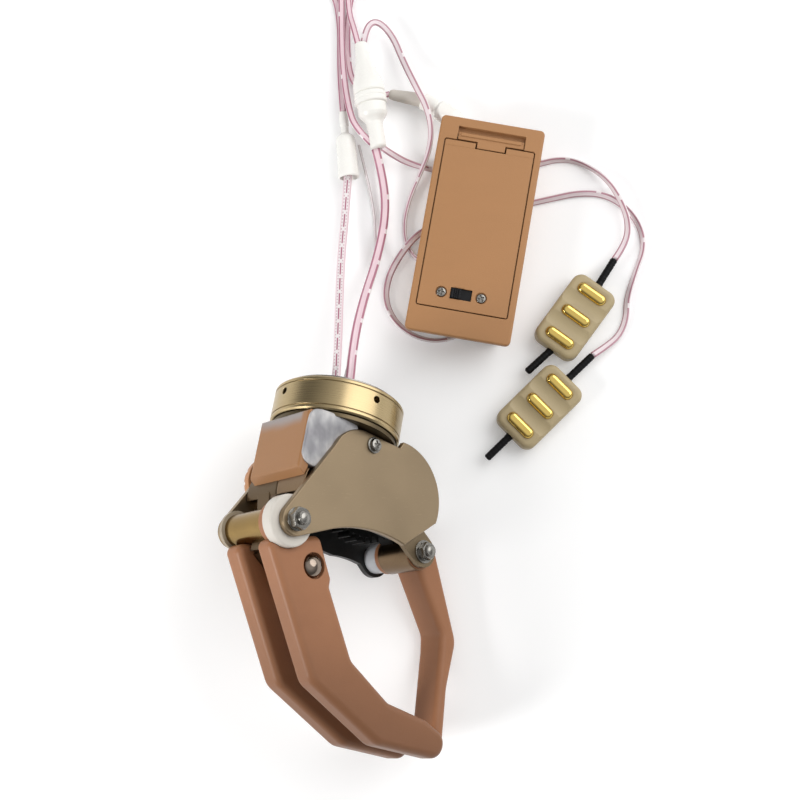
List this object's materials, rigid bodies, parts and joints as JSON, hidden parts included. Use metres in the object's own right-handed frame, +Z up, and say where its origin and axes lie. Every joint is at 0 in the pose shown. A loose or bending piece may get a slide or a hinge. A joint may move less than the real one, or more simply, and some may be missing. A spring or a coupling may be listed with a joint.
{
  "type": "myoelectric prosthetic hand with battery box and electrodes",
  "caption": "Bare mechanism of an electric gripping hand with a geared thumb, joined by ribbon leads to a battery box and skin electrodes.",
  "frame": {"origin": "bottom centre of the box round the hand, battery box and electrodes, on the table", "axes": "+Z up from the table, +Y from the fingertips towards the wrist and harness, +X from the hand towards the electrodes"},
  "size_m": [0.1525, 0.3151, 0.0724],
  "materials": {
    "gold_anodised": "satin gold anodised",
    "champagne_anodised": "satin champagne anodised",
    "bare_aluminium": "turned",
    "steel": "machined",
    "bright_screw": "polished",
    "flesh_plastic": "moulded, fine grain",
    "black_plastic": "moulded",
    "grey_potting": "cast, uneven",
    "bronze_drive": "dark bronze coat",
    "green_board": "solder mask",
    "brass": "turned",
    "white_nylon": "turned",
    "grey_plastic": "turned",
    "cell_wrap": "shrink film",
    "beige_plastic": "moulded",
    "gold_contact": "polished gold plate",
    "black_rubber": "matte",
    "white_plastic": "moulded",
    "grey_boot": "matte",
    "pink_ribbon": "extruded",
    "white_wire": "extruded"
  },
  "bodies": {
    "frame": {"wrist_hub": "bare_aluminium", "wrist_clip": "steel", "cable_grommet": "black_rubber", "side_plate_upper": "champagne_anodised", "side_plate_lower": "champagne_anodised", "plate_screws": "steel", "motor": "bronze_drive", "gearhead": "bronze_drive", "dorsal_cover": "flesh_plastic", "controller_potting": "grey_potting", "control_board": "green_board", "side_cap": "flesh_plastic", "palm_frame": "black_plastic", "idler_pin": "steel", "finger_axle": "steel", "axle_nuts": "steel", "thumb_lug": "champagne_anodised", "thumb_axle": "steel", "thumb_bush": "grey_plastic", "battery_case": "flesh_plastic", "battery_contacts": "brass", "electrode_sleeves": "black_rubber", "connector_upper": "white_plastic", "connector_collar": "white_plastic", "connector_lower": "white_plastic", "link_connector": "white_plastic", "plug_boot": "grey_boot", "battery_plug": "white_plastic", "hand_power_lead": "white_wire", "hand_signal_lead": "pink_ribbon", "thin_lead": "white_wire", "electrode_1_lead": "pink_ribbon", "electrode_2_lead": "pink_ribbon", "link_lead": "pink_ribbon", "battery_lead": "pink_ribbon", "electrode_1_housing": "beige_plastic", "electrode_1_base": "beige_plastic", "electrode_1_contacts": "gold_contact", "electrode_2_housing": "beige_plastic", "electrode_2_base": "beige_plastic", "electrode_2_contacts": "gold_contact"},
    "wrist": {"wrist_ring": "gold_anodised"},
    "drive": {"drive_gear": "steel"},
    "idler": {"idler_gear": "steel"},
    "fingers": {"finger_yoke": "steel", "finger_sleeve": "brass", "finger_bush": "white_nylon", "sleeve_washers": "white_nylon", "finger_upper": "flesh_plastic", "finger_lower": "flesh_plastic", "finger_screws": "bright_screw"},
    "thumb_unit": {"thumb": "flesh_plastic", "thumb_lever": "steel"},
    "pack": {"battery_pack": "flesh_plastic", "lid_lugs": "flesh_plastic", "battery_cells": "cell_wrap", "lid_screws": "steel", "switch_plate": "black_plastic"},
    "knob": {"switch_knob": "black_plastic"},
    "latch_slider": {"latch": "flesh_plastic"}
  },
  "joints": [
    {"name": "finger_close", "type": "hinge", "parent": "frame", "child": "fingers", "pos_m": [-0.05362, -0.03695, 0.0552], "axis": [-0.6814, -0.0925, -0.7261], "range_deg": [0, 34]},
    {"name": "thumb_close", "type": "hinge", "parent": "frame", "child": "thumb_unit", "pos_m": [-0.0098, -0.04559, 0.01518], "axis": [-0.6814, -0.0925, -0.7261], "range_deg": [-34, 0]},
    {"name": "drive_turn", "type": "hinge", "parent": "frame", "child": "drive", "pos_m": [-0.04208, -0.02693, 0.0431], "axis": [-0.6814, -0.0925, -0.7261], "range_deg": [-36.5, 0.5]},
    {"name": "idler_turn", "type": "hinge", "parent": "frame", "child": "idler", "pos_m": [-0.02304, -0.02415, 0.02488], "axis": [-0.6814, -0.0925, -0.7261], "range_deg": [-0.5, 20.5]},
    {"name": "wrist_turn", "type": "hinge", "parent": "frame", "child": "wrist", "pos_m": [-0.03026, 0.00682, 0.0277], "axis": [0.1519, 0.9525, -0.2639], "range_deg": [-90, 90]},
    {"name": "pack_lift", "type": "slide", "parent": "frame", "child": "pack", "axis": [0, 0, 1], "range_m": [0, 0.03]},
    {"name": "switch_slide", "type": "slide", "parent": "pack", "child": "knob", "axis": [0.9848, -0.1736, 0], "range_m": [0, 0.0034]},
    {"name": "latch_slide", "type": "slide", "parent": "frame", "child": "latch_slider", "axis": [0.1736, 0.9848, 0], "range_m": [0, 0.0018], "stiffness_N_per_m": 300, "springref_m": -0.002}
  ],
  "couplings": [
    {"joint": "thumb_close", "follows": "finger_close", "ratio": -1},
    {"joint": "drive_turn", "follows": "finger_close", "ratio": -1.0526},
    {"joint": "idler_turn", "follows": "finger_close", "ratio": 0.58823}
  ]
}
